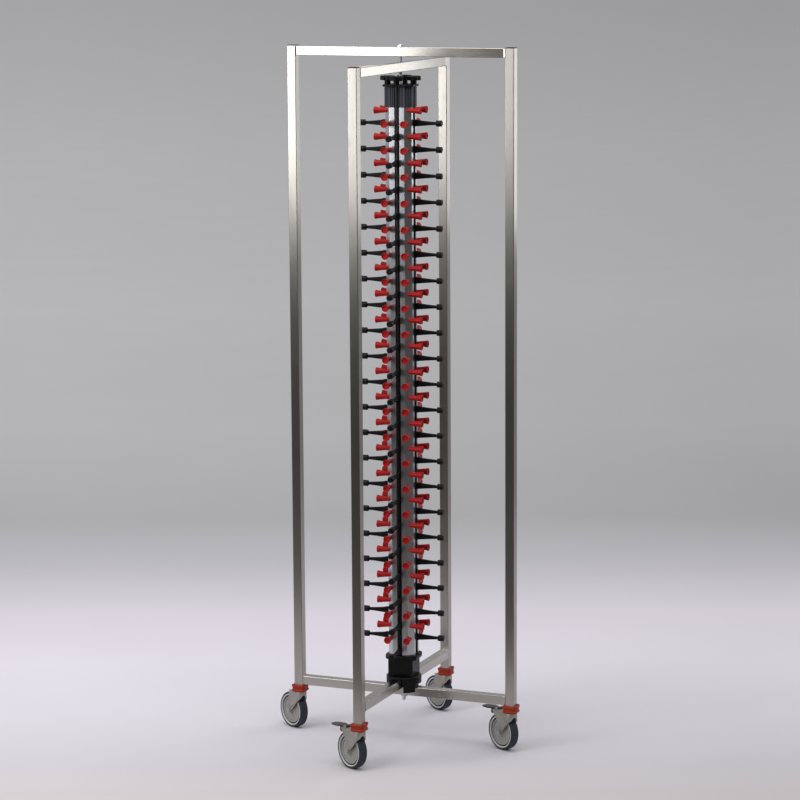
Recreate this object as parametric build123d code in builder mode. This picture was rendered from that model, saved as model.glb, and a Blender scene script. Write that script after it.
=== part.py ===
from build123d import *
import math
import os

# Plate rack trolley: two interlocked tube frames on four swivel casters carry a turning column,
# and each side of the column holds a stack of plates between rubber pegs and swinging arms.
# Millimetres, +Z up. The origin lies on the column axis at the underside of the lower cross.

# Frame tubes and their heights
frame_width = 650.0
tube = 25.0
tube_wall = 1.5
cross_above_floor = 130.0
frame_above_floor = 1895.0
low_frame_drop = 40.0
cross_spacer = 3.0
post_sink = 8.0
post_cap_height = 2.0
plug_length = 14.0
plug_clearance = 0.2

# Tie rod through the middle
rod_radius = 5.0
rod_hole_clearance = 0.2
running_clearance = 0.05
washer_radius = 11.0
washer_height = 1.0
nut_flats = 17.0
nut_height = 5.0
dome_height = 2.0
rod_free_end = 10.0
thread_root_radius = 4.5
thread_runout = 0.5

# Column profile
column_turn = 5.2
column_width = 73.0
column_corner = 15.5
column_hollow_radius = 24.0
groove_width = 12.4
groove_depth = 8.5
column_bottom = 116.0
column_top = 1607.0

# Blocks that close the column
base_block_width = 70.0
base_block_round = 3.0
foot_plate_height = 12.0
foot_plate_width = 88.0
top_block_height = 60.0
top_block_width = 76.0
end_plate_height = 6.0
end_plate_width = 86.0
end_plate_corner = 18.0
turn_gap = 0.2

# Bearing cup on the lower cross
cup_flange_radius = 48.0
cup_body_radius = 40.0
cup_flange_height = 21.0
cup_roof = 3.0
cup_drop = 13.0
cup_slot_clearance = 0.3
cup_chamfer = 2.0

# Plate stations
levels = 21
pitch = 70.0
first_front_peg = 164.0
sides = ("front", "right", "back", "left")

# Red pegs, two over each plate
peg_offset = 27.0
peg_start = 26.0
peg_end = 65.0
peg_start_radius = 4.9
peg_flare = 7.1
peg_sides = 8

# Turning rods with the arms that carry the plates
arm_rod_place = 36.0
arm_rod_width = 7.0
journal_radius = 3.4
journal_length = 8.0
hub_radius = 5.9
hub_sides = 8
hub_height = 19.0
hub_clearance = 0.1
bar_root_width = 8.0
bar_root_height = 17.0
bar_neck_width = 6.0
bar_neck_height = 8.0
bar_sink = 4.0
bar_length = 62.0
tip_radius = 8.2
tip_length = 16.5
tip_sides = 6

# Knobs on the turning rods
knob_gap = 0.3
knob_stem_radius = 8.8
knob_stem_height = 10.0
knob_radius = 20.0
knob_height = 12.0
knob_scallops = 6
knob_scallop_radius = 5.0
knob_socket_depth = 14.0

# Casters
wheel_radius = 50.0
wheel_width = 25.0
tyre_round = 4.0
rim_radius = 40.0
rim_width = 22.0
web_radius = 32.0
web_width = 14.0
wheel_hub_radius = 11.0
wheel_hub_width = 28.0
seat_clearance = 0.1
caster_trail = 31.0
caster_heading = 150.5
swivel_gap = 0.4
fork_plate = 2.5
fork_inner_width = 29.0
crown_rear = 31.0
braked_crown_rear = 58.0
leg_waist = 40.0
leg_waist_drop = 23.0
shoulder_back = 5.0
shoulder_drop = 18.0
axle_radius = 4.0
axle_boss_radius = 8.5
axle_head_radius = 7.0
axle_head_height = 4.0
stem_radius = 5.0
stem_plug_height = 24.0
rivet_radius = 8.0
rivet_height = 2.0
guard_clearance = 2.0
guard_side_gap = 1.0
guard_drop = 22.0
guard_rear = 10.0

# Bumper collars round the foot of each post
bumper_top = 0.0
bumper_width = 40.0
bumper_corner = 8.0
bumper_height = 21.5
bumper_dip = 3.0
bumper_dip_width = 22.0
bumper_clearance = 0.3

# Brake pedals on two of the casters
pedal_pivot = 50.0
pedal_pivot_drop = 0.2
pedal_hub_radius = 4.5
pedal_pin_radius = 2.5
pedal_reach = 113.0
pedal_width = 32.0
pedal_root_width = 18.0
pedal_thickness = 3.5
pedal_tip_width = 12.0
pedal_tip_drop = 5.0
ear_thickness = 2.5
ear_radius = 6.0
ear_clearance = 0.4
shoe_place = 69.0
shoe_length = 8.0
shoe_bottom = 14.0

# Worked out from the sizes above
half = tube / 2
flat = column_width / 2
post_place = (frame_width - tube) / 2
floor = -cross_above_floor
wide_top = frame_above_floor - cross_above_floor
low_top = wide_top - low_frame_drop
beam_length = frame_width - 2 * tube
high_cross = tube + cross_spacer
high_cross_top = high_cross + tube
cup_top = high_cross_top + cup_roof
cup_bottom = tube - cup_drop
base_block_bottom = cup_top + turn_gap
foot_plate_bottom = column_bottom - foot_plate_height
top_block_top = column_top + top_block_height
knob_bottom = top_block_top + knob_gap
knob_disc_bottom = knob_bottom + knob_stem_height
journal_bore = journal_radius + running_clearance
fitting_bore = rod_radius + rod_hole_clearance
plug_width = tube - 2 * tube_wall - 2 * plug_clearance
lower_nut_bottom = -washer_height - nut_height
upper_nut_bottom = wide_top + washer_height
axle_height = floor + wheel_radius
bumper_bottom = bumper_top - bumper_height
crown_top = bumper_bottom - swivel_gap
crown_bottom = crown_top - fork_plate
fork_outer_width = fork_inner_width + 2 * fork_plate
pedal_pivot_height = crown_top - pedal_pivot_drop


def write(piece, name):
    """Labels a finished piece and writes it as its own file."""
    piece.label = name
    export_step(piece, f"parts/{name}.step")


def on_side(side):
    """Turn that carries a piece made on the +X side of the column round to a named side."""
    return Location((0, 0, 0), (0, 0, column_turn - 90 + 90 * sides.index(side)))


def peg_heights(side):
    """Heights of a side's pegs. Neighbouring sides are half a pitch apart."""
    lift = 0 if side in ("front", "back") else pitch / 2
    return [first_front_peg + lift + pitch * level for level in range(levels)]


def tube_along(start, direction, length):
    """Square tube that runs straight from a start point."""
    across = (0, 0, 1) if direction[2] == 0 else (1, 0, 0)
    with BuildPart() as made:
        with BuildSketch(Plane(origin=start, x_dir=across, z_dir=direction)):
            Rectangle(tube, tube)
            Rectangle(tube - 2 * tube_wall, tube - 2 * tube_wall, mode=Mode.SUBTRACT)
        extrude(amount=length)
    return made.part


def octagon(width, corner):
    """Square with cut corners."""
    with BuildSketch() as outline:
        Rectangle(width, width)
        chamfer(outline.vertices(), corner)
    return outline.sketch


def grooved(width, corner):
    """Octagon with a groove down the middle of each side, deep enough for an arm's hub."""
    with BuildSketch() as section:
        add(octagon(width, corner))
        with PolarLocations(flat - groove_depth + width / 2, 4):
            Rectangle(width, groove_width, mode=Mode.SUBTRACT)
    return section.sketch


os.makedirs("parts", exist_ok=True)

# Posts and beams
post_places = {
    "left": (-post_place, 0),
    "right": (post_place, 0),
    "front": (0, -post_place),
    "back": (0, post_place),
}
post_tops = {"left": wide_top, "right": wide_top, "front": low_top, "back": low_top}
for place, (x, y) in post_places.items():
    post = tube_along((x, y, -post_sink), (0, 0, 1), post_tops[place] + post_sink)
    write(post, f"{place}_post")

beams = {
    "top_beam_across": ((-beam_length / 2, 0, wide_top - half), (1, 0, 0)),
    "top_beam_front_to_back": ((0, -beam_length / 2, low_top - half), (0, 1, 0)),
    "base_beam_across": ((-beam_length / 2, 0, half), (1, 0, 0)),
    "base_beam_front_to_back": ((0, -beam_length / 2, high_cross + half), (0, 1, 0)),
}
for name, (start, direction) in beams.items():
    with BuildPart() as beam:
        add(tube_along(start, direction, beam_length))
        with Locations((0, 0, start[2])):
            Cylinder(fitting_bore, 2 * tube, mode=Mode.SUBTRACT)
    write(beam.part, name)

with BuildPart() as post_caps:
    for place, (x, y) in post_places.items():
        with BuildSketch(Plane((x, y, post_tops[place]))):
            Rectangle(tube, tube)
        extrude(amount=post_cap_height)
        with BuildSketch(Plane((x, y, post_tops[place]))):
            Rectangle(plug_width, plug_width)
        extrude(amount=-plug_length)
write(post_caps.part, "post_caps")

# Tie rod, down to the root of its thread inside the lower nut, and its fittings
with BuildPart() as tie_rod:
    with BuildSketch(Plane.XY.offset(lower_nut_bottom - rod_free_end)):
        Circle(rod_radius)
    extrude(amount=upper_nut_bottom + nut_height - lower_nut_bottom + rod_free_end)
    with BuildSketch(Plane.XY.offset(lower_nut_bottom - thread_runout)):
        Circle(rod_radius)
        Circle(thread_root_radius, mode=Mode.SUBTRACT)
    extrude(amount=nut_height + thread_runout, mode=Mode.SUBTRACT)
write(tie_rod.part, "tie_rod")

with BuildPart() as tie_washers:
    for bottom, height in (
        (wide_top, washer_height),
        (tube, cross_spacer),
        (-washer_height, washer_height),
    ):
        with BuildSketch(Plane.XY.offset(bottom)):
            Circle(washer_radius)
            Circle(fitting_bore, mode=Mode.SUBTRACT)
        extrude(amount=height)
write(tie_washers.part, "tie_washers")

with BuildPart() as lower_nut:
    with BuildSketch(Plane.XY.offset(lower_nut_bottom)):
        RegularPolygon(nut_flats / 2, 6, major_radius=False)
        Circle(fitting_bore, mode=Mode.SUBTRACT)
    extrude(amount=nut_height)
write(lower_nut.part, "lower_nut")

with BuildPart() as dome_nut:
    with BuildSketch(Plane.XY.offset(upper_nut_bottom)):
        RegularPolygon(nut_flats / 2, 6, major_radius=False)
    extrude(amount=nut_height)
    with BuildSketch(Plane.XY.offset(upper_nut_bottom + nut_height)):
        Circle(nut_flats / 2)
    extrude(amount=dome_height, taper=45)
    with BuildSketch(Plane.XY.offset(upper_nut_bottom)):
        Circle(fitting_bore)
    extrude(amount=nut_height, mode=Mode.SUBTRACT)
write(dome_nut.part, "dome_nut")

# Bearing cup, slotted over both beams of the lower cross
slot_width = tube + 2 * cup_slot_clearance
with BuildPart() as bearing_cup:
    with BuildSketch(Plane.XY.offset(cup_bottom)):
        Circle(cup_body_radius)
    extrude(amount=cup_top - cup_bottom)
    with BuildSketch(Plane.XY.offset(cup_top - cup_flange_height)):
        Circle(cup_flange_radius)
    extrude(amount=cup_flange_height)
    chamfer(bearing_cup.edges().group_by(Axis.Z)[-1], cup_chamfer)
    with BuildSketch(Plane.XY.offset(cup_bottom)):
        Rectangle(slot_width, 2 * cup_flange_radius)
    extrude(amount=high_cross_top - cup_bottom, mode=Mode.SUBTRACT)
    with BuildSketch(Plane.XY.offset(cup_bottom)):
        Rectangle(2 * cup_flange_radius, slot_width)
    extrude(amount=tube - cup_bottom, mode=Mode.SUBTRACT)
    Hole(fitting_bore)
write(bearing_cup.part, "bearing_cup")

# Column profile and the blocks at its ends, turned as one on the tie rod
column_plane = Plane.XY.rotated((0, 0, column_turn))
with BuildPart() as column_profile:
    with BuildSketch(column_plane.offset(column_bottom)):
        add(grooved(column_width, column_corner))
        Circle(column_hollow_radius, mode=Mode.SUBTRACT)
    extrude(amount=column_top - column_bottom)
write(column_profile.part, "column_profile")

with BuildPart() as base_block:
    with BuildSketch(column_plane.offset(base_block_bottom)):
        RectangleRounded(base_block_width, base_block_width, base_block_round)
    extrude(amount=foot_plate_bottom - base_block_bottom)
    with BuildSketch(column_plane.offset(foot_plate_bottom)):
        add(octagon(foot_plate_width, end_plate_corner))
    extrude(amount=foot_plate_height)
    with BuildSketch(column_plane.offset(column_bottom)):
        with PolarLocations(arm_rod_place, 4):
            Circle(journal_bore)
    extrude(amount=-journal_length, mode=Mode.SUBTRACT)
    Hole(rod_radius + running_clearance)
write(base_block.part, "base_block")

with BuildPart() as top_block:
    with BuildSketch(column_plane.offset(column_top)):
        add(grooved(top_block_width, column_corner))
        Circle(rod_radius + running_clearance, mode=Mode.SUBTRACT)
    extrude(amount=top_block_height - end_plate_height)
    with BuildSketch(column_plane.offset(top_block_top)):
        add(octagon(end_plate_width, end_plate_corner))
        Circle(rod_radius + running_clearance, mode=Mode.SUBTRACT)
        with PolarLocations(arm_rod_place, 4):
            Circle(journal_bore, mode=Mode.SUBTRACT)
    extrude(amount=-end_plate_height)
write(top_block.part, "top_block")

# Pegs, cut off flush where they meet the column's sloping corner faces
with BuildPart() as peg_pair:
    with BuildSketch(Plane.YZ.offset(peg_start)):
        with Locations((-peg_offset, 0), (peg_offset, 0)):
            RegularPolygon(peg_start_radius, peg_sides, rotation=180 / peg_sides)
    extrude(amount=peg_end - peg_start, taper=-peg_flare)
    with BuildSketch(Plane.XY.offset(-pitch / 2)):
        add(octagon(column_width, column_corner))
    extrude(amount=pitch, mode=Mode.SUBTRACT)

for side in sides:
    with BuildPart() as pegs:
        with Locations([(0, 0, height) for height in peg_heights(side)]):
            add(peg_pair.part)
    write(on_side(side) * pegs.part, f"{side}_pegs")

# One arm: a hub on the square rod, a bar that tapers outwards and a block at its tip
with BuildPart() as arm:
    with BuildSketch(Plane((arm_rod_place, 0, -hub_height / 2))):
        RegularPolygon(hub_radius, hub_sides, rotation=180 / hub_sides)
    extrude(amount=hub_height)
    with BuildSketch(Plane.YZ.offset(arm_rod_place + bar_sink)):
        Rectangle(bar_root_width, bar_root_height)
    with BuildSketch(Plane.YZ.offset(arm_rod_place + bar_length)):
        Rectangle(bar_neck_width, bar_neck_height)
    loft()
    with BuildSketch(Plane.YZ.offset(arm_rod_place + bar_length)):
        RegularPolygon(tip_radius, tip_sides)
    extrude(amount=tip_length)
    with BuildSketch(Plane((arm_rod_place, 0, -hub_height / 2))):
        Rectangle(arm_rod_width + 2 * hub_clearance, arm_rod_width + 2 * hub_clearance)
    extrude(amount=hub_height, mode=Mode.SUBTRACT)

# Square rod, turned down to a round journal at each end
rod_square_bottom = column_bottom + knob_gap
rod_square_top = top_block_top - end_plate_height - knob_gap
with BuildPart() as arm_rod:
    with BuildSketch(Plane((arm_rod_place, 0, rod_square_bottom))):
        Rectangle(arm_rod_width, arm_rod_width)
    extrude(amount=rod_square_top - rod_square_bottom)
    with BuildSketch(Plane((arm_rod_place, 0, rod_square_bottom))):
        Circle(journal_radius)
    extrude(amount=-journal_length)
    with BuildSketch(Plane((arm_rod_place, 0, rod_square_top))):
        Circle(journal_radius)
    extrude(amount=knob_bottom + knob_socket_depth - rod_square_top)

with BuildPart() as arm_knob:
    with BuildSketch(Plane((arm_rod_place, 0, knob_bottom))):
        Circle(knob_stem_radius)
    extrude(amount=knob_stem_height)
    with BuildSketch(Plane((arm_rod_place, 0, knob_disc_bottom))):
        Circle(knob_radius)
        with PolarLocations(knob_radius + knob_scallop_radius / 2, knob_scallops):
            Circle(knob_scallop_radius, mode=Mode.SUBTRACT)
    extrude(amount=knob_height)
    with BuildSketch(Plane((arm_rod_place, 0, knob_bottom))):
        Circle(journal_radius + hub_clearance)
    extrude(amount=knob_socket_depth, mode=Mode.SUBTRACT)

for side in sides:
    with BuildPart() as arms:
        with Locations([(0, 0, height - pitch / 2) for height in peg_heights(side)]):
            add(arm.part)
    write(on_side(side) * arms.part, f"{side}_arms")
    write(on_side(side) * arm_rod.part, f"{side}_arm_rod")
    write(on_side(side) * arm_knob.part, f"{side}_knob")

# Bumper collars and caster stems under the posts
with BuildPart() as bumper_collars:
    for x, y in post_places.values():
        with BuildSketch(Plane((x, y, bumper_bottom))):
            RectangleRounded(bumper_width, bumper_width, bumper_corner)
            Circle(stem_radius + bumper_clearance, mode=Mode.SUBTRACT)
        extrude(amount=bumper_height)
        with BuildSketch(Plane((x, y, -post_sink))):
            Rectangle(tube + 2 * bumper_clearance, tube + 2 * bumper_clearance)
        extrude(amount=bumper_top + post_sink, mode=Mode.SUBTRACT)
        with BuildSketch(Plane((x, y, bumper_top))):
            Rectangle(bumper_dip_width, bumper_width)
            Rectangle(bumper_width, bumper_dip_width)
        extrude(amount=-bumper_dip, mode=Mode.SUBTRACT)
write(bumper_collars.part, "bumper_collars")

rivet_top = crown_bottom - swivel_gap
with BuildPart() as caster_stems:
    for x, y in post_places.values():
        with BuildSketch(Plane((x, y, rivet_top))):
            Circle(stem_radius)
        extrude(amount=-post_sink - rivet_top)
        with BuildSketch(Plane((x, y, -post_sink))):
            Rectangle(plug_width, plug_width)
        extrude(amount=stem_plug_height)
        with BuildSketch(Plane((x, y, rivet_top))):
            Circle(rivet_radius)
        extrude(amount=-rivet_height)
write(caster_stems.part, "caster_stems")

# Caster pieces, made round a swivel axis at the origin with the wheel trailing along +X
side_plane = Plane(origin=(0, fork_outer_width / 2, 0), x_dir=(1, 0, 0), z_dir=(0, -1, 0))
nose = fork_outer_width / 2
leg_front = [
    (caster_trail, axle_height - axle_boss_radius),
    (caster_trail - axle_boss_radius, axle_height),
    (shoulder_back - nose, crown_bottom - shoulder_drop),
    (-nose, crown_bottom),
    (-nose, crown_top),
]


def round_nosed(width, length):
    """Plan outline with a half-round nose about the swivel axis and straight sides behind it."""
    with BuildSketch() as outline:
        Circle(width / 2)
        with Locations((length / 2, 0)):
            Rectangle(length, width)
    return outline.sketch


def caster_fork(with_brake):
    """Pressed fork whose sides taper from a round-nosed crown down to the axle.

    One with a brake has a longer tail, slotted for the pedal, with ears and a pin that carry it."""
    rear = braked_crown_rear if with_brake else crown_rear
    leg_rear = [(rear, crown_top), (rear, crown_bottom)]
    if with_brake:
        leg_rear.append((leg_waist, crown_bottom - leg_waist_drop))
    leg_rear.append((caster_trail + axle_boss_radius, axle_height))
    with BuildPart() as fork:
        with BuildSketch(side_plane):
            with BuildLine():
                Polyline(*leg_front, *leg_rear, close=True)
            make_face()
            with Locations((caster_trail, axle_height)):
                Circle(axle_boss_radius)
        extrude(amount=fork_outer_width)
        with BuildSketch(Plane.XY.offset(crown_top)):
            add(round_nosed(fork_outer_width, 2 * wheel_radius))
        extrude(amount=-3 * wheel_radius, mode=Mode.INTERSECT)
        with BuildSketch(Plane.XY.offset(crown_bottom)):
            add(round_nosed(fork_inner_width, 2 * wheel_radius))
        extrude(amount=-3 * wheel_radius, mode=Mode.SUBTRACT)
        with BuildSketch(Plane.XY.offset(crown_bottom)):
            Circle(stem_radius + running_clearance)
        extrude(amount=fork_plate, mode=Mode.SUBTRACT)
        with Locations(Location((caster_trail, 0, axle_height), (90, 0, 0))):
            Cylinder(axle_radius + seat_clearance, 2 * fork_outer_width, mode=Mode.SUBTRACT)
        if with_brake:
            ear_gap = pedal_root_width + 2 * ear_clearance
            ear_span = ear_gap + 2 * ear_thickness
            with BuildSketch(Plane.XZ.offset(-ear_span / 2)):
                with Locations((pedal_pivot, pedal_pivot_height)):
                    Circle(ear_radius)
            extrude(amount=ear_span)
            with BuildSketch(Plane.XZ.offset(-ear_gap / 2)):
                with Locations((pedal_pivot + ear_radius, pedal_pivot_height)):
                    Rectangle(4 * ear_radius, 4 * ear_radius)
            extrude(amount=ear_gap, mode=Mode.SUBTRACT)
            with BuildSketch(Plane.XZ.offset(-ear_span / 2)):
                with Locations((pedal_pivot, pedal_pivot_height)):
                    Circle(pedal_pin_radius)
            extrude(amount=ear_span)
    return fork.part


# Guard inside the fork's nose, cut to follow the tread
guard_width = fork_inner_width - 2 * guard_side_gap
with BuildPart() as wheel_guard:
    with BuildSketch(Plane.XY.offset(crown_bottom)):
        add(round_nosed(guard_width, guard_rear))
        Circle(rivet_radius + guard_side_gap, mode=Mode.SUBTRACT)
    extrude(amount=-guard_drop)
    with Locations(Location((caster_trail, 0, axle_height), (90, 0, 0))):
        Cylinder(wheel_radius + guard_clearance, 2 * guard_width, mode=Mode.SUBTRACT)

with BuildPart() as axle:
    with BuildSketch(Plane.XZ.offset(-fork_outer_width / 2 - axle_head_height)):
        with Locations((caster_trail, axle_height)):
            RegularPolygon(axle_head_radius, 6)
    extrude(amount=axle_head_height)
    with BuildSketch(Plane.XZ.offset(-fork_outer_width / 2)):
        with Locations((caster_trail, axle_height)):
            Circle(axle_radius)
    extrude(amount=fork_outer_width)
    with BuildSketch(Plane.XZ.offset(fork_outer_width / 2)):
        with Locations((caster_trail, axle_height)):
            RegularPolygon(axle_head_radius, 6)
    extrude(amount=axle_head_height)

axle_line = Axis((caster_trail, 0, axle_height), (0, 1, 0))
disc_profile = [
    (axle_radius + running_clearance, wheel_hub_width / 2),
    (wheel_hub_radius, wheel_hub_width / 2),
    (wheel_hub_radius, web_width / 2),
    (web_radius, web_width / 2),
    (web_radius, rim_width / 2),
    (rim_radius, rim_width / 2),
]
disc_corners = disc_profile + [(radius, -width) for radius, width in reversed(disc_profile)]
tyre_profile = [
    (rim_radius + seat_clearance, wheel_width / 2),
    (wheel_radius - tyre_round, wheel_width / 2),
    (wheel_radius, wheel_width / 2 - tyre_round),
]
tyre_corners = tyre_profile + [(radius, -width) for radius, width in reversed(tyre_profile)]


def turned(corners):
    """Ring turned about the axle from corners given as distance from the axle and along it."""
    section = Plane(origin=(caster_trail, 0, axle_height), x_dir=(0, 0, 1), z_dir=(-1, 0, 0))
    with BuildPart() as ring:
        with BuildSketch(section):
            with BuildLine():
                Polyline(*corners, close=True)
            make_face()
        revolve(axis=axle_line)
    return ring.part


wheel_disc = turned(disc_corners)
tyre = turned(tyre_corners)

# Brake pedal, a leaf-shaped plate with a shoe that comes down on the tread
pedal_plane = Plane(
    origin=(pedal_pivot, 0, pedal_pivot_height + pedal_hub_radius),
    x_dir=(pedal_reach - pedal_pivot, 0, -pedal_tip_drop),
    z_dir=(pedal_tip_drop, 0, pedal_reach - pedal_pivot),
)
leaf_length = pedal_reach - pedal_pivot
with BuildPart() as brake_pedal:
    with BuildSketch(pedal_plane):
        with BuildLine():
            Polyline(
                (0, pedal_root_width / 2),
                (0, -pedal_root_width / 2),
                (ear_radius + ear_thickness, -pedal_root_width / 2),
                (leaf_length / 2, -pedal_width / 2),
                (leaf_length - pedal_hub_radius, -pedal_width / 2 + pedal_hub_radius),
                (leaf_length, -pedal_tip_width / 2),
                (leaf_length, pedal_tip_width / 2),
                (leaf_length - pedal_hub_radius, pedal_width / 2 - pedal_hub_radius),
                (leaf_length / 2, pedal_width / 2),
                (ear_radius + ear_thickness, pedal_root_width / 2),
                close=True,
            )
        make_face()
    extrude(amount=-pedal_thickness)
    with BuildSketch(Plane.XZ.offset(-pedal_root_width / 2)):
        with Locations((pedal_pivot, pedal_pivot_height)):
            Circle(pedal_hub_radius)
    extrude(amount=pedal_root_width)
    with BuildSketch(Plane.XZ.offset(-pedal_root_width / 2)):
        with BuildLine():
            Polyline(
                (shoe_place - shoe_length / 2, pedal_pivot_height + pedal_hub_radius / 2),
                (shoe_place + shoe_length / 2, pedal_pivot_height + pedal_hub_radius / 2),
                (shoe_place + shoe_length / 2, pedal_pivot_height - shoe_bottom),
                (shoe_place - shoe_length / 2, pedal_pivot_height - shoe_bottom),
                close=True,
            )
        make_face()
    extrude(amount=pedal_root_width)
    with BuildSketch(Plane.XZ.offset(-pedal_root_width / 2)):
        with Locations((pedal_pivot, pedal_pivot_height)):
            Circle(pedal_pin_radius + running_clearance)
    extrude(amount=pedal_root_width, mode=Mode.SUBTRACT)

braked = ("front", "right")
for place, (x, y) in post_places.items():
    corner = Location((x, y, 0), (0, 0, caster_heading))
    write(corner * caster_fork(place in braked), f"{place}_fork")
    write(corner * wheel_guard.part, f"{place}_guard")
    write(corner * axle.part, f"{place}_axle")
    write(corner * wheel_disc, f"{place}_wheel_disc")
    write(corner * tyre, f"{place}_tyre")
    if place in braked:
        write(corner * brake_pedal.part, f"{place}_brake_pedal")
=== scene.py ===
import math

import bpy
from mathutils import Matrix, Vector


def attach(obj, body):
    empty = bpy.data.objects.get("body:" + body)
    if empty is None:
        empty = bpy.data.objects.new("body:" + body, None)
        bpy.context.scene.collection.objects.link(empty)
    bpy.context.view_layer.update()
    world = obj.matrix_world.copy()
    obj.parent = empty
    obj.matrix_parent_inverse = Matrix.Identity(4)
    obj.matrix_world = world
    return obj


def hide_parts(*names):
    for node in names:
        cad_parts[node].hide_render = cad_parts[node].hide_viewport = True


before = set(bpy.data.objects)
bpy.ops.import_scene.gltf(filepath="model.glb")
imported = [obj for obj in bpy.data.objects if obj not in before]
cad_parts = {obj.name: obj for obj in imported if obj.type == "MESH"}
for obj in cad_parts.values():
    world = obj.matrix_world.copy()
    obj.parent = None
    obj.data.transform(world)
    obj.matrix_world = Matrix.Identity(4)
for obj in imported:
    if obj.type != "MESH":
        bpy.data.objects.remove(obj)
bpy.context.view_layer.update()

MM = 0.001

# Sizes shared with the CAD source, in millimetres
SIDES = ("front", "right", "back", "left")
COLUMN_TURN = 5.2
LEVELS = 21
PITCH = 70.0
FIRST_FRONT_PEG = 164.0
COLUMN_WIDTH = 73.0
COLUMN_CORNER = 15.5
COLUMN_BOTTOM = 116.0
COLUMN_TOP = 1607.0
GROOVE_WIDTH = 12.4
GROOVE_DEPTH = 8.5
PEG_OFFSET = 27.0
ARM_ROD_PLACE = 36.0
POST_PLACE = 312.5
TUBE = 25.0
CROSS_SPACER = 3.0
WIDE_TOP = 1765.0
LOW_TOP = 1725.0
FLOOR = -130.0
WHEEL_RADIUS = 50.0
CASTER_TRAIL = 31.0
CASTER_HEADING = 150.5
TOP_BLOCK_WIDTH = 76.0
TOP_BLOCK_HEIGHT = 60.0
END_PLATE_WIDTH = 86.0
END_PLATE_CORNER = 18.0
END_PLATE_HEIGHT = 6.0
KNOB_GAP = 0.3
KNOB_STEM_HEIGHT = 10.0
KNOB_RADIUS = 20.0
BUMPER_WIDTH = 40.0
BUMPER_CORNER = 8.0
BUMPER_BOTTOM = -21.5
BUMPER_DIP = 3.0
POST_SINK = 8.0
NUT_FLATS = 17.0
NUT_HEIGHT = 5.0
WASHER_HEIGHT = 1.0
WASHER_RADIUS = 11.0

# Worked out from the sizes above
AXLE_HEIGHT = FLOOR + WHEEL_RADIUS
KNOB_BOTTOM = COLUMN_TOP + TOP_BLOCK_HEIGHT + KNOB_GAP
BLOCK_TOP = COLUMN_TOP + TOP_BLOCK_HEIGHT
HALF_BEAM = POST_PLACE - TUBE / 2
HIGH_CROSS = TUBE + CROSS_SPACER

# Sizes of the visual detail, in millimetres and degrees
TUBE_CORNER = 1.6
TUBE_CORNER_STEPS = 4
WELD_SPREAD = 1.6
WELD_CORNER = 2.6
FLAT_START = 5.0
ROD_RADIUS = 4.95
ROD_BOTTOM = -16.0
ROD_TOP = 1770.0
ROD_SEGMENTS = 28
UPPER_THREAD_BOTTOM = 1676.0
THREAD_PITCH = 1.5
THREAD_DEPTH = 0.85
WASHER_BORE = 5.2
WASHER_EDGE = 0.3
EDGE_ANGLE = 40.0
MERGE_DISTANCE = 0.01
RIB_DEPTH = 2.2
RIB_PITCH = 6.2
PLATE_ROUNDING = 1.2
AXLE_NUT_FLATS = 12.0

POSTS = {
    "left": (-POST_PLACE, 0.0),
    "right": (POST_PLACE, 0.0),
    "front": (0.0, -POST_PLACE),
    "back": (0.0, POST_PLACE),
}


# Mesh helpers

class Shape:
    """Collects points and faces of several solids in one list."""

    def __init__(self):
        self.verts = []
        self.faces = []

    def add(self, verts, faces, place=None):
        start = len(self.verts)
        if place is None:
            self.verts += [tuple(v) for v in verts]
        else:
            self.verts += [tuple(place @ Vector(v)) for v in verts]
        self.faces += [tuple(start + i for i in face) for face in faces]


def add_piece(name, shape, material, body, node=None, smooth_angle=35.0):
    """Object made from a shape in millimetres. It rides a body and may stand in for a CAD node."""
    mesh = bpy.data.meshes.new(name)
    mesh.from_pydata([(x * MM, y * MM, z * MM) for x, y, z in shape.verts], [], shape.faces)
    mesh.validate()
    mesh.update()
    mesh.polygons.foreach_set("use_smooth", [True] * len(mesh.polygons))
    mesh.set_sharp_from_angle(angle=math.radians(smooth_angle))
    mesh.materials.append(material)
    piece = bpy.data.objects.new(name, mesh)
    flatten = piece.modifiers.new("flat_faces", "WEIGHTED_NORMAL")
    flatten.keep_sharp = True
    bpy.context.scene.collection.objects.link(piece)
    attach(piece, body)
    if node:
        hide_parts(node)


def lathe(profile, segments=32):
    """Solid turned about Z from (radius, height) corners. Ends that reach the axis are closed there."""
    verts = []
    faces = []
    rings = []
    for radius, height in profile:
        if radius <= 0.0:
            rings.append([len(verts)])
            verts.append((0.0, 0.0, height))
            continue
        ring = []
        for i in range(segments):
            a = 2 * math.pi * i / segments
            ring.append(len(verts))
            verts.append((radius * math.cos(a), radius * math.sin(a), height))
        rings.append(ring)
    pairs = list(zip(rings, rings[1:]))
    if profile[0][0] > 0.0 and profile[-1][0] > 0.0:
        pairs.append((rings[-1], rings[0]))
    for low, high in pairs:
        for i in range(segments):
            j = (i + 1) % segments
            if len(low) == 1:
                faces.append((low[0], high[j], high[i]))
            elif len(high) == 1:
                faces.append((low[i], low[j], high[0]))
            else:
                faces.append((low[i], low[j], high[j], high[i]))
    return verts, faces


def loft(sections):
    """Closed skin through loops of equal point count."""
    verts = [tuple(p) for loop in sections for p in loop]
    size = len(sections[0])
    faces = []
    for s in range(len(sections) - 1):
        for i in range(size):
            j = (i + 1) % size
            a = s * size
            b = a + size
            faces.append((a + i, a + j, b + j, b + i))
    faces.append(tuple(reversed(range(size))))
    faces.append(tuple(range((len(sections) - 1) * size, len(sections) * size)))
    return verts, faces


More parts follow.
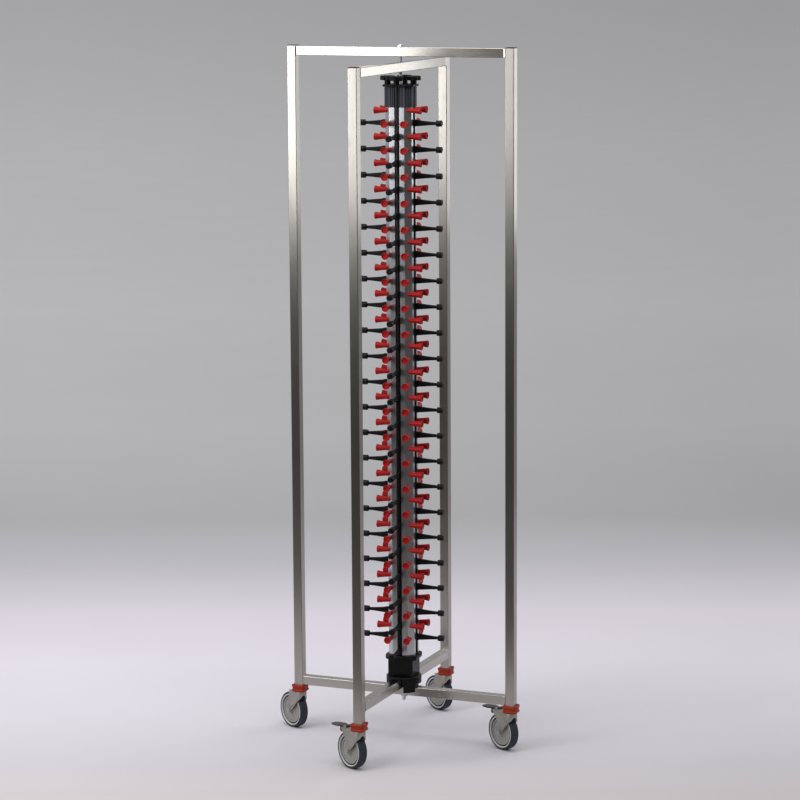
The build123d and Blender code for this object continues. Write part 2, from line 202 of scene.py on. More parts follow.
def rounded_rectangle(width, height, radius, steps=3):
    """Corner points of a rectangle with rounded corners, counter-clockwise."""
    points = []
    for cx, cy, start in (
        (width / 2 - radius, height / 2 - radius, 0),
        (-width / 2 + radius, height / 2 - radius, 90),
        (-width / 2 + radius, -height / 2 + radius, 180),
        (width / 2 - radius, -height / 2 + radius, 270),
    ):
        for i in range(steps + 1):
            a = math.radians(start + 90 * i / steps)
            points.append((cx + radius * math.cos(a), cy + radius * math.sin(a)))
    return points


def turn_z(degrees):
    return Matrix.Rotation(math.radians(degrees), 4, "Z")


def turned(points, degrees):
    """Plan points turned about the column's axis."""
    a = math.radians(degrees)
    return [(x * math.cos(a) - y * math.sin(a), x * math.sin(a) + y * math.cos(a)) for x, y in points]


def four_times(quarter):
    """Whole outline from a quarter of it, which ends where its next copy starts."""
    return [spot for turn in range(4) for spot in turned(quarter[:-1], 90 * turn)]


def side_place(side):
    """Turns a piece made on the +X side of the column round to a named side."""
    return turn_z(COLUMN_TURN - 90 + 90 * SIDES.index(side))


def peg_heights(side):
    """Heights of a side's pegs. Neighbouring sides are half a pitch apart."""
    lift = 0.0 if side in ("front", "back") else PITCH / 2
    return [FIRST_FRONT_PEG + lift + PITCH * level for level in range(LEVELS)]


def post_top(place):
    """The frame that runs across is the taller one."""
    return WIDE_TOP if place in ("left", "right") else LOW_TOP


# Materials

class Nodes:
    """Short way to add and join shader nodes of one material, or of the world."""

    def __init__(self, owner, shader="Principled BSDF", coords="Object"):
        self.owner = owner
        self.owner.use_nodes = True
        self.tree = self.owner.node_tree
        self.shader = self.tree.nodes[shader]
        self.coords = self.node("ShaderNodeTexCoord").outputs[coords]

    def node(self, kind, **settings):
        made = self.tree.nodes.new(kind)
        for key, value in settings.items():
            setattr(made, key, value)
        return made

    def link(self, source, target):
        self.tree.links.new(source, target)

    def put(self, socket, value):
        """Gives a socket a link, a colour or a plain value."""
        if isinstance(value, bpy.types.NodeSocket):
            self.link(value, socket)
        elif isinstance(value, tuple):
            socket.default_value = (*value, 1.0)
        else:
            socket.default_value = value

    def scaled(self, scale):
        mapping = self.node("ShaderNodeMapping")
        mapping.inputs["Scale"].default_value = scale
        self.link(self.coords, mapping.inputs["Vector"])
        return mapping.outputs["Vector"]

    def noise(self, scale, detail=4.0, roughness=0.55, vector=None):
        made = self.node("ShaderNodeTexNoise")
        made.inputs["Scale"].default_value = scale
        made.inputs["Detail"].default_value = detail
        made.inputs["Roughness"].default_value = roughness
        self.link(vector or self.coords, made.inputs["Vector"])
        return made.outputs["Fac"]

    def spread(self, value, low, high, to_low, to_high):
        made = self.node("ShaderNodeMapRange")
        made.inputs["From Min"].default_value = low
        made.inputs["From Max"].default_value = high
        made.inputs["To Min"].default_value = to_low
        made.inputs["To Max"].default_value = to_high
        self.link(value, made.inputs["Value"])
        return made.outputs["Result"]

    def ramp(self, value, stops):
        made = self.node("ShaderNodeValToRGB")
        elements = made.color_ramp.elements
        while len(elements) < len(stops):
            elements.new(0.5)
        for element, (place, color) in zip(elements, stops):
            element.position = place
            element.color = (*color, 1.0)
        self.link(value, made.inputs["Fac"])
        return made.outputs["Color"]

    def mix(self, factor, a, b, blend="MIX"):
        made = self.node("ShaderNodeMix", data_type="RGBA", blend_type=blend)
        sockets = (made.inputs[0], made.inputs[6], made.inputs[7])
        for socket, value in zip(sockets, (factor, a, b)):
            self.put(socket, value)
        return made.outputs[2]

    def math(self, operation, a, b):
        made = self.node("ShaderNodeMath", operation=operation)
        for socket, value in zip(made.inputs, (a, b)):
            self.put(socket, value)
        return made.outputs["Value"]

    def bump(self, height, strength, distance):
        made = self.node("ShaderNodeBump")
        made.inputs["Strength"].default_value = strength
        made.inputs["Distance"].default_value = distance
        self.link(height, made.inputs["Height"])
        self.link(made.outputs["Normal"], self.shader.inputs["Normal"])

    def set(self, **values):
        for key, value in values.items():
            self.put(self.shader.inputs[key.replace("_", " ")], value)
        return self.owner


def material_nodes(name):
    return Nodes(bpy.data.materials.new(name))


def streaks(n, direction, fine=1800.0, along=9.0):
    """Noise drawn out along one axis, for brushed or extruded metal."""
    scale = tuple(along if axis == direction else fine for axis in "XYZ")
    return n.noise(1.0, 3.0, 0.6, n.scaled(scale))


def brush_along(n, direction, amount):
    """Highlights spread across the grain, as they do on brushed metal."""
    grain = n.node(
        "ShaderNodeVectorTransform", vector_type="VECTOR", convert_from="OBJECT", convert_to="WORLD")
    grain.inputs["Vector"].default_value = [1.0 if axis == direction else 0.0 for axis in "XYZ"]
    n.link(grain.outputs["Vector"], n.shader.inputs["Tangent"])
    n.set(Anisotropic=amount, Anisotropic_Rotation=0.25)


def brushed_steel(name, direction, rough_low, rough_high):
    """Warm grey steel with fine streaks, wider bands and a few hand marks in its shine."""
    n = material_nodes(name)
    grain = streaks(n, direction)
    bands = streaks(n, direction, 420.0, 2.5)
    clouds = n.noise(5.0, 3.0)
    prints = n.noise(30.0, 3.0)
    tone = n.ramp(clouds, [(0.3, (0.43, 0.41, 0.378)), (0.7, (0.48, 0.46, 0.428))])
    tone = n.mix(n.spread(grain, 0.35, 0.65, 0.0, 0.3), tone, (0.33, 0.312, 0.28))
    tone = n.mix(n.spread(bands, 0.4, 0.65, 0.0, 0.25), tone, (0.35, 0.33, 0.30))
    rough = n.spread(grain, 0.3, 0.7, rough_low, rough_high)
    rough = n.math("ADD", rough, n.spread(prints, 0.58, 0.78, 0.0, 0.05))
    n.bump(grain, 0.1, 0.0001)
    brush_along(n, direction, 0.8)
    return n.set(Base_Color=tone, Roughness=rough, Metallic=1.0)


def column_aluminium():
    """Drawn aluminium, paler and more even than the steel."""
    n = material_nodes("column_aluminium")
    grain = streaks(n, "Z", 1300.0, 4.0)
    bands = n.noise(4.0, 2.0)
    tone = n.ramp(bands, [(0.35, (0.58, 0.60, 0.63)), (0.65, (0.64, 0.655, 0.68))])
    rough = n.spread(grain, 0.3, 0.7, 0.3, 0.36)
    n.bump(grain, 0.04, 0.0001)
    brush_along(n, "Z", 0.7)
    return n.set(Base_Color=tone, Roughness=rough, Metallic=1.0)


def pressed_steel():
    """Dull, mottled sheet steel of the casters."""
    n = material_nodes("pressed_steel")
    mottle = n.noise(220.0, 4.0)
    clouds = n.noise(24.0, 3.0)
    tone = n.ramp(clouds, [(0.3, (0.33, 0.315, 0.285)), (0.7, (0.42, 0.405, 0.37))])
    rough = n.spread(mottle, 0.3, 0.7, 0.38, 0.5)
    n.bump(mottle, 0.1, 0.0002)
    return n.set(Base_Color=tone, Roughness=rough, Metallic=1.0)


def plated(name, rough_low, rough_high):
    """Bright plated steel with fine turning marks."""
    n = material_nodes(name)
    marks = n.noise(900.0, 2.0)
    tone = n.ramp(marks, [(0.3, (0.60, 0.60, 0.59)), (0.7, (0.70, 0.70, 0.69))])
    rough = n.spread(marks, 0.3, 0.7, rough_low, rough_high)
    n.bump(marks, 0.06, 0.0002)
    return n.set(Base_Color=tone, Roughness=rough, Metallic=1.0)


# Scuffs on a moulding are lighter than its lighter tone by this factor and this much
SCUFF_GAIN = 1.5
SCUFF_LIFT = 0.01


def moulded(name, dark, light, rough_low, rough_high, grain=1400.0, depth=0.25, shine=0.3):
    """Moulded plastic or rubber: fine grain, slightly uneven colour and shine, scuffs on it."""
    n = material_nodes(name)
    cloud = n.noise(22.0, 4.0)
    fine = n.noise(grain, 2.0)
    scuff = n.noise(1.0, 5.0, 0.7, n.scaled((260.0, 260.0, 60.0)))
    tone = n.mix(cloud, dark, light)
    scuffed = tuple(min(1.0, c * SCUFF_GAIN + SCUFF_LIFT) for c in light)
    tone = n.mix(n.spread(scuff, 0.62, 0.75, 0.0, 0.25), tone, scuffed)
    rough = n.spread(cloud, 0.3, 0.7, rough_low, rough_high)
    n.bump(fine, depth, 0.0002)
    return n.set(Base_Color=tone, Roughness=rough, Specular_IOR_Level=shine)


steel_x = brushed_steel("brushed_steel_x", "X", 0.20, 0.26)
steel_y = brushed_steel("brushed_steel_y", "Y", 0.20, 0.26)
steel_z = brushed_steel("brushed_steel_z", "Z", 0.27, 0.33)
aluminium = column_aluminium()
pressed = pressed_steel()
fitting = plated("bright_fitting", 0.2, 0.32)
rod_plated = plated("rod_plated", 0.42, 0.52)
DEEP_BLACK = (0.003, 0.003, 0.0035)
SOFT_BLACK = (0.006, 0.006, 0.007)
black = moulded("black_plastic", DEEP_BLACK, SOFT_BLACK, 0.38, 0.5, shine=0.16)
cap_black = moulded("cap_black", DEEP_BLACK, SOFT_BLACK, 0.62, 0.72, shine=0.05)
rod_black = moulded("rod_black", DEEP_BLACK, SOFT_BLACK, 0.32, 0.44, shine=0.16)
block_grey = moulded("block_grey", (0.036, 0.040, 0.050), (0.056, 0.062, 0.074), 0.4, 0.55)
red = moulded("peg_red", (0.33, 0.006, 0.007), (0.42, 0.009, 0.009), 0.4, 0.54, shine=0.2)
bumper = moulded("bumper_red", (0.25, 0.020, 0.006), (0.34, 0.031, 0.009), 0.4, 0.56, shine=0.2)
tyre_dark = moulded("tyre_rubber", (0.016, 0.022, 0.032), (0.030, 0.040, 0.054), 0.55, 0.72, 900.0, 0.3)
wheel_grey = moulded("wheel_grey", (0.27, 0.26, 0.24), (0.36, 0.35, 0.32), 0.4, 0.55)
rim_pale = moulded("rim_pale", (0.52, 0.52, 0.51), (0.64, 0.64, 0.63), 0.4, 0.55)
# Painted shade: the recessed groove between the disc and the pale rim is coloured near black
groove_painted_shade = moulded("wheel_groove_painted_shade", (0.008, 0.009, 0.013), (0.018, 0.019, 0.025), 0.5, 0.65)
pedal_dark = moulded("pedal_dark", (0.014, 0.017, 0.013), (0.030, 0.034, 0.027), 0.32, 0.48)


# Frame tubes

def frame_tube(name, start, direction, length, material):
    """Square tube with rounded corners, and a small weld fillet at each end that meets a post."""
    across = {"X": ("Y", "Z"), "Y": ("Z", "X"), "Z": ("X", "Y")}[direction]
    corners = rounded_rectangle(TUBE, TUBE, TUBE_CORNER, TUBE_CORNER_STEPS)
    weld = rounded_rectangle(TUBE + WELD_SPREAD, TUBE + WELD_SPREAD, WELD_CORNER, TUBE_CORNER_STEPS)
    order = "XYZ"

    def ring(points, along):
        loop = []
        for a, b in points:
            spot = list(start)
            spot[order.index(direction)] += along
            spot[order.index(across[0])] += a
            spot[order.index(across[1])] += b
            loop.append(tuple(spot))
        return loop

    if direction == "Z":
        sections = [ring(corners, 0.0), ring(corners, length)]
    else:
        sections = [
            ring(weld, 0.0),
            ring(corners, WELD_SPREAD),
            ring(corners, FLAT_START),
            ring(corners, length - FLAT_START),
            ring(corners, length - WELD_SPREAD),
            ring(weld, length),
        ]
    shape = Shape()
    shape.add(*loft(sections))
    add_piece(f"{name}_tube", shape, material, "frame", name, 50.0)


for place, (x, y) in POSTS.items():
    frame_tube(f"{place}_post", (x, y, -POST_SINK), "Z", post_top(place) + POST_SINK, steel_z)
frame_tube("top_beam_across", (-HALF_BEAM, 0.0, WIDE_TOP - TUBE / 2), "X", 2 * HALF_BEAM, steel_x)
frame_tube("top_beam_front_to_back", (0.0, -HALF_BEAM, LOW_TOP - TUBE / 2), "Y", 2 * HALF_BEAM, steel_y)
frame_tube("base_beam_across", (-HALF_BEAM, 0.0, TUBE / 2), "X", 2 * HALF_BEAM, steel_x)
frame_tube("base_beam_front_to_back", (0.0, -HALF_BEAM, HIGH_CROSS + TUBE / 2), "Y", 2 * HALF_BEAM, steel_y)

# Inset and height above the post of a cap's edge
CAP_PROFILE = [(0.0, 0.0), (0.0, 1.2), (0.3, 1.7), (1.2, 2.0)]
CAP_CORNER = 2.0

caps = Shape()
for place, (x, y) in POSTS.items():
    cap_loops = []
    for inset, height in CAP_PROFILE:
        loop = rounded_rectangle(TUBE - 2 * inset, TUBE - 2 * inset, CAP_CORNER, TUBE_CORNER_STEPS)
        cap_loops.append([(x + a, y + b, post_top(place) + height) for a, b in loop])
    caps.add(*loft(cap_loops))
add_piece("post_caps_moulded", caps, cap_black, "frame", "post_caps")


# Tie rod with a rolled thread at both ends, its nuts and its washers

def threaded(bottom, top):
    """Stretch of the rod with one helical thread."""
    steps_per_turn = 6
    rows = int((top - bottom) / THREAD_PITCH * steps_per_turn) + 1
    sections = []
    for row in range(rows):
        height = bottom + (top - bottom) * row / (rows - 1)
        loop = []
        for i in range(ROD_SEGMENTS):
            phase = (height / THREAD_PITCH - i / ROD_SEGMENTS) % 1.0
            r = ROD_RADIUS - THREAD_DEPTH * (1 - abs(2 * phase - 1))
            a = 2 * math.pi * i / ROD_SEGMENTS
            loop.append((r * math.cos(a), r * math.sin(a), height))
        sections.append(loop)
    return loft(sections)


rod = Shape()
rod.add(*threaded(ROD_BOTTOM, -WASHER_HEIGHT))
rod.add(*lathe([
    (0, -WASHER_HEIGHT), (ROD_RADIUS, -WASHER_HEIGHT),
    (ROD_RADIUS, UPPER_THREAD_BOTTOM), (0, UPPER_THREAD_BOTTOM)], ROD_SEGMENTS))
rod.add(*threaded(UPPER_THREAD_BOTTOM, ROD_TOP))
add_piece("tie_rod_threaded", rod, rod_plated, "frame", "tie_rod", 60.0)


def hex_nut(flats, bottom, top):
    """Nut with its corners chamfered at both ends."""
    points = 48
    uncut = 1.2
    sections = []
    for height, limit in ((bottom, 0.97), (bottom + 0.7, uncut), (top - 0.9, uncut), (top, 0.95)):
        loop = []
        for i in range(points):
            a = 2 * math.pi * i / points
            sector = (a % (math.pi / 3)) - math.pi / 6
            r = min(flats / 2 / math.cos(sector), limit * flats / 2)
            loop.append((r * math.cos(a), r * math.sin(a), height))
        sections.append(loop)
    return loft(sections)


nut = Shape()
nut.add(*hex_nut(NUT_FLATS, -WASHER_HEIGHT - NUT_HEIGHT, -WASHER_HEIGHT))
add_piece("lower_nut_hex", nut, fitting, "frame", "lower_nut", 20.0)

# Radius and height above the frame of the dome on the upper nut
DOME_PROFILE = [(7.9, 4.4), (7.8, 5.4), (7.2, 6.5), (5.6, 7.4), (3.0, 7.85), (0, 8.0)]
DOME_HEX_TOP = 4.6

dome = Shape()
dome.add(*hex_nut(NUT_FLATS, WIDE_TOP + WASHER_HEIGHT, WIDE_TOP + DOME_HEX_TOP))
dome.add(*lathe([(radius, WIDE_TOP + height) for radius, height in DOME_PROFILE], 36))
add_piece("dome_nut_polished", dome, fitting, "frame", "dome_nut", 30.0)

washers = Shape()
for bottom, thick in ((WIDE_TOP, WASHER_HEIGHT), (TUBE, CROSS_SPACER), (-WASHER_HEIGHT, WASHER_HEIGHT)):
    washers.add(*lathe([
        (WASHER_BORE, bottom), (WASHER_RADIUS - WASHER_EDGE, bottom),
        (WASHER_RADIUS, bottom + WASHER_EDGE), (WASHER_RADIUS, bottom + thick - WASHER_EDGE),
        (WASHER_RADIUS - WASHER_EDGE, bottom + thick), (WASHER_BORE, bottom + thick)], 36))
add_piece("tie_washers_turned", washers, fitting, "frame", "tie_washers")


def soften(node, material, width, segments=2):
    """Rounds the edges of a shown CAD node and gives it its material."""
    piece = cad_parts[node]
    piece.data.materials.clear()
    piece.data.materials.append(material)
    piece.data.polygons.foreach_set("use_smooth", [True] * len(piece.data.polygons))
    weld = piece.modifiers.new("weld", "WELD")
    weld.merge_threshold = MERGE_DISTANCE * MM
    bevel = piece.modifiers.new("edge", "BEVEL")
    bevel.width = width * MM
    bevel.segments = segments
    bevel.limit_method = "ANGLE"
    bevel.angle_limit = math.radians(EDGE_ANGLE)
    bevel.use_clamp_overlap = True
    bevel.harden_normals = True


soften("bearing_cup", black, 0.8)
soften("base_block", black, 1.0)
soften("caster_stems", pressed, 0.3)


# Column profile with a groove down each side

def column_section():
    """Outline of the profile, with rounded corners and small lips at each groove's mouth."""
    flat = COLUMN_WIDTH / 2
    side = flat - COLUMN_CORNER
    groove = GROOVE_WIDTH / 2
    fillet = 0.8
    lip = 0.5
    corner_rounding = ((0.0, -0.9), (-0.3, -0.1), (-0.95, 0.85))
    eighth = [
        (flat - GROOVE_DEPTH, 0.0),
        (flat - GROOVE_DEPTH, groove - fillet),
        (flat - GROOVE_DEPTH + fillet, groove),
        (flat - lip, groove),
        (flat, groove + lip),
    ]
    eighth += [(flat + dx, side + dy) for dx, dy in corner_rounding]
    return four_times(eighth + [(y, x) for x, y in reversed(eighth)])


section = turned(column_section(), COLUMN_TURN)
profile = Shape()
profile.add(*loft([[(x, y, z) for x, y in section] for z in (COLUMN_BOTTOM, COLUMN_TOP)]))
add_piece("column_extrusion", profile, aluminium, "column", "column_profile", 30.0)


# Ribbed top block and its end plate

def octagon(width, corner, height):
    """Outline of a square with cut corners, its edges slightly rounded."""
    half = width / 2
    ends = []
    for sx, sy in ((1, 1), (-1, 1), (-1, -1), (1, -1)):
        a = (sx * half, sy * (half - corner))
        b = (sx * (half - corner), sy * half)
        ends += [a, b] if sx * sy > 0 else [b, a]
    points = []
    for i, (x, y) in enumerate(ends):
        for other in (ends[i - 1], ends[(i + 1) % len(ends)]):
            dx, dy = other[0] - x, other[1] - y
            size = math.hypot(dx, dy)
            points.append((x + dx / size * PLATE_ROUNDING, y + dy / size * PLATE_ROUNDING))
    return [(x, y, height) for x, y in turned(points, COLUMN_TURN)]


def ribbed_section():
    """Octagon whose sides carry upright ribs, open where the four rods pass."""
    half = TOP_BLOCK_WIDTH / 2
    corner = COLUMN_CORNER
    groove = GROOVE_WIDTH / 2
    pocket = 9.0
    land = 1.8
    flank = 0.7
    width = 3.0
    eighth = [(half - pocket, 0.0), (half - pocket, groove), (half, groove)]
    y = groove + land
    while y < half - corner - width:
        eighth += [
            (half, y), (half - RIB_DEPTH, y + flank),
            (half - RIB_DEPTH, y + width - flank), (half, y + width)]
        y += RIB_PITCH
    eighth.append((half, half - corner))
    slope = []
    steps = 3
    for i in range(steps):
        start = (i + 0.25) / steps
        end = (i + 0.75) / steps
        for t, depth in ((start, 0.0), (start + 0.03, RIB_DEPTH), (end - 0.03, RIB_DEPTH), (end, 0.0)):
            inward = depth * math.sqrt(0.5)
            slope.append((half - corner * t - inward, half - corner + corner * t - inward))
    return four_times(eighth + slope + [(b, a) for a, b in reversed(eighth)])


# Inset and height of the end plate's edge, and the low ring round each rod on it
END_PLATE_PROFILE = [(0.8, 0.0), (0.0, 0.8), (0.0, 5.0), (0.8, END_PLATE_HEIGHT)]
ROD_RING_PROFILE = [(3.6, 0.0), (8.6, 0.0), (8.6, 0.15), (3.6, 0.15)]
BLOCK_GAP = 0.05

block = Shape()
ribs = turned(ribbed_section(), COLUMN_TURN)
block_ends = (COLUMN_TOP + BLOCK_GAP, BLOCK_TOP - END_PLATE_HEIGHT)
block.add(*loft([[(x, y, z) for x, y in ribs] for z in block_ends]))
plate_loops = []
for inset, height in END_PLATE_PROFILE:
    width = END_PLATE_WIDTH - 2 * inset
    corner = END_PLATE_CORNER * width / END_PLATE_WIDTH
    plate_loops.append(octagon(width, corner, BLOCK_TOP - END_PLATE_HEIGHT + height))
plate = Shape()
plate.add(*loft(plate_loops))
for side in SIDES:
    ring_place = side_place(side) @ Matrix.Translation((ARM_ROD_PLACE, 0, BLOCK_TOP))
    plate.add(*lathe(ROD_RING_PROFILE, 28), place=ring_place)
add_piece("top_block_ribbed", block, block_grey, "column", "top_block", 30.0)
add_piece("top_block_end_plate", plate, black, "column", None, 30.0)


# Pegs, arms, rods and knobs of each side

AXIS_OUT = Matrix.Rotation(math.radians(90), 4, "Y")
# Radius and distance from the column's axis
PEG_PROFILE = [
    (0, 26.0), (4.9, 26.0), (5.45, 30.5), (6.0, 36.0), (6.75, 43.0), (7.6, 50.0), (8.5, 57.0),
    (9.4, 61.6), (9.75, 63.0), (9.7, 64.4), (9.1, 65.0), (7.7, 65.0), (6.9, 64.4), (6.2, 62.6), (0, 62.4),
]
ARM_TIP_PROFILE = [
    (0, 98.0), (6.6, 98.0), (7.8, 98.6), (8.2, 99.6), (8.2, 112.4), (7.9, 113.6), (7.0, 114.3),
    (5.2, 114.5), (4.8, 114.1), (0, 114.1),
]
ARM_HUB_PROFILE = [(3.8, -9.5), (5.4, -9.5), (5.85, -9.0), (5.85, 9.0), (5.4, 9.5), (3.8, 9.5)]
# Distance from the column's axis, width, underside and top of the bar
ARM_SECTIONS = [
    (38.0, 8.6, -8.9, 8.9), (42.0, 8.4, -8.7, 9.0), (46.0, 8.2, -8.2, 9.4), (50.0, 8.0, -7.8, 9.2),
    (53.0, 7.8, -7.5, 8.0), (58.0, 7.6, -7.0, 7.2), (70.0, 7.0, -5.9, 6.0), (84.0, 6.4, -4.7, 4.8),
    (96.0, 6.0, -4.0, 4.0), (99.0, 6.2, -4.3, 4.3),
]
ARM_ROUNDING = 2.2
KNOB_STEM_PROFILE = [
    (3.5, 0.0), (8.0, 0.0), (8.4, 0.4), (8.4, 7.6), (8.8, 9.0), (8.8, KNOB_STEM_HEIGHT + 0.4),
    (3.5, KNOB_STEM_HEIGHT + 0.4),
]
# Inset and height of the grip's edge
KNOB_GRIP_PROFILE = [
    (3.0, 0.0), (1.0, 0.3), (0.0, 1.3), (0.0, 9.6), (0.5, 10.9), (1.6, 11.7), (3.2, 12.0), (6.5, 11.7),
    (8.0, 11.3),
]
KNOB_LOBES = 6
KNOB_LOBE_DEPTH = 2.3
KNOB_POINTS = 96


def outward(profile, segments):
    """Turned piece whose axis runs outwards along +X instead of up."""
    verts, faces = lathe(profile, segments)
    return [tuple(AXIS_OUT @ Vector(v)) for v in verts], faces


def arm_solid():
    """One arm as points and faces, at height zero: hub, tapered bar with a bead on its top, round tip."""
    shape = Shape()
    shape.add(*lathe(ARM_HUB_PROFILE, 24), place=Matrix.Translation((ARM_ROD_PLACE, 0, 0)))
    loops = []
    for x, width, low, high in ARM_SECTIONS:
        middle = (low + high) / 2
        ring = rounded_rectangle(width, high - low, min(ARM_ROUNDING, width / 3), 3)
        loops.append([(x, a, middle + b) for a, b in ring])
    shape.add(*loft(loops))
    shape.add(*outward(ARM_TIP_PROFILE, 24))
    return shape.verts, shape.faces


def knob_solid():
    """Stem and a lobed grip with a rounded rim. The lobes fade towards the grip's middle."""
    shape = Shape()
    shape.add(*lathe(KNOB_STEM_PROFILE, 32))
    last_inset = KNOB_GRIP_PROFILE[-1][0]
    loops = []
    for inset, height in KNOB_GRIP_PROFILE:
        loop = []
        for i in range(KNOB_POINTS):
            a = 2 * math.pi * i / KNOB_POINTS
            lobe = 0.5 + 0.5 * math.cos(KNOB_LOBES * a + math.pi)
            dip = KNOB_LOBE_DEPTH * lobe ** 3 * max(0.0, 1 - inset / last_inset)
            r = KNOB_RADIUS - inset - dip
            loop.append((r * math.cos(a), r * math.sin(a), KNOB_STEM_HEIGHT + height))
        loops.append(loop)
    shape.add(*loft(loops))
    return shape.verts, shape.faces


peg_verts, peg_faces = outward(PEG_PROFILE, 24)
arm_verts, arm_faces = arm_solid()
knob_verts, knob_faces = knob_solid()
for side in SIDES:
    place = side_place(side)
    pegs = Shape()
    arms = Shape()
    for height in peg_heights(side):
        for offset in (-PEG_OFFSET, PEG_OFFSET):
            pegs.add(peg_verts, peg_faces, place @ Matrix.Translation((0, offset, height)))
        arms.add(arm_verts, arm_faces, place @ Matrix.Translation((0, 0, height - PITCH / 2)))
    knob = Shape()
    knob.add(knob_verts, knob_faces, place @ Matrix.Translation((ARM_ROD_PLACE, 0, KNOB_BOTTOM)))
    arm_set = f"{side}_arm_set"
    add_piece(f"{side}_pegs_moulded", pegs, red, "column", f"{side}_pegs", 40.0)
    add_piece(f"{side}_arms_moulded", arms, black, arm_set, f"{side}_arms", 40.0)
    add_piece(f"{side}_knob_lobed", knob, black, arm_set, f"{side}_knob", 40.0)
    soften(f"{side}_arm_rod", rod_black, 0.5, 1)


# Bumper collars with raised corners

# Inset and height above the collar's underside, up its outer face
BUMPER_PROFILE = [
    (3.0, 0.0), (1.1, 0.9), (0.2, 2.8), (0.0, 4.2), (0.2, 5.4), (1.5, 6.6), (1.5, 13.2), (0.2, 14.6),
]
# Inset and height above the dipping top edge
BUMPER_LIP = [(0.0, -1.6), (0.5, -0.4), (1.6, 0.0)]
POCKET_CORNER = 2.2
POCKET_CLEARANCE = 0.25
POCKET_EDGE = 0.2
POCKET_GAP = 0.3
CORNER_START = 0.5
CORNER_BLEND = 0.28


def bumper_solid(x, y):
    """Rounded square collar round the foot of a post. Its top edge dips along each side."""
    half = BUMPER_WIDTH / 2
    steps = 6
    outer = rounded_rectangle(BUMPER_WIDTH, BUMPER_WIDTH, BUMPER_CORNER, steps)
    mouth = TUBE + 2 * POCKET_CLEARANCE
    pocket = rounded_rectangle(mouth, mouth, POCKET_CORNER, steps)

    def scaled(inset, heights):
        factor = (half - inset) / half
        return [(x + a * factor, y + b * factor, z) for (a, b), z in zip(outer, heights)]

    tops = []
    for a, b in outer:
        spread = min(abs(a), abs(b)) / half
        raised = min(1.0, max(0.0, (spread - CORNER_START) / CORNER_BLEND))
        tops.append(-BUMPER_DIP + BUMPER_DIP * raised * raised * (3 - 2 * raised))
    loops = [scaled(inset, [BUMPER_BOTTOM + height] * len(outer)) for inset, height in BUMPER_PROFILE]
    loops += [scaled(inset, [z + lift for z in tops]) for inset, lift in BUMPER_LIP]
    loops.append([(x + a, y + b, z - POCKET_EDGE) for (a, b), z in zip(pocket, tops)])
    loops.append([(x + a, y + b, POCKET_GAP - POST_SINK) for a, b in pocket])
    return loft(loops)


collars = Shape()
for x, y in POSTS.values():
    collars.add(*bumper_solid(x, y))
add_piece("bumper_collars_moulded", collars, bumper, "frame", "bumper_collars", 40.0)


# Casters

AXLE_TURN = Matrix.Rotation(math.radians(-90), 4, "X")
OTHER_SIDE = Matrix.Rotation(math.pi, 4, "X")
# Radius and distance from the wheel's middle plane, for one side of it
DISC_PROFILE = [
    (4.2, 13.9), (8.6, 13.9), (9.4, 13.2), (10.4, 9.6), (12.0, 8.2), (14.5, 8.0), (15.2, 8.9), (17.6, 8.9),
    (18.3, 7.2), (22.0, 6.8), (22.7, 8.3), (25.6, 8.3), (26.3, 7.0), (30.4, 7.0), (30.9, 6.2), (32.0, 6.2),
    (32.6, 9.0), (36.0, 9.8), (36.7, 9.4),
]
GROOVE_PROFILE = [(36.4, 9.0), (36.9, 7.2), (40.4, 7.2), (40.9, 9.0)]
RIM_PROFILE = [(40.7, 8.6), (41.1, 11.4), (41.6, 12.0), (43.6, 12.2), (44.1, 11.8), (44.4, 10.6)]
TYRE_PROFILE = [
    (44.1, 10.0), (44.7, 12.0), (45.4, 12.4), (48.3, 12.2), (49.5, 11.2), (49.95, 9.4), (WHEEL_RADIUS, 0.0),
]
AXLE_NUT_ENDS = (17.2, 20.6)
AXLE_WASHER_PROFILE = [(0, 17.0), (9.6, 17.0), (9.8, 17.3), (9.6, 17.7), (0, 17.7)]
AXLE_END_PROFILE = [(0, 20.4), (3.9, 20.4), (3.8, 20.9), (0, 21.0)]
AXLE_PROFILE = [(0, -17.0), (3.95, -17.0), (3.95, 17.0), (0, 17.0)]


def caster_frame(place):
    """Local frame of a caster: origin under the post, +X towards the trailing wheel."""
    x, y = POSTS[place]
    return Matrix.Translation((x, y, 0)) @ turn_z(CASTER_HEADING)


def wheel_ring(profile, segments, place):
    """Turned part of a wheel, the same on both sides of its middle plane."""
    lower = [(r, -h) for r, h in reversed(profile) if h > 0.0]
    shape = Shape()
    shape.add(*lathe(profile + lower, segments), place=place)
    return shape


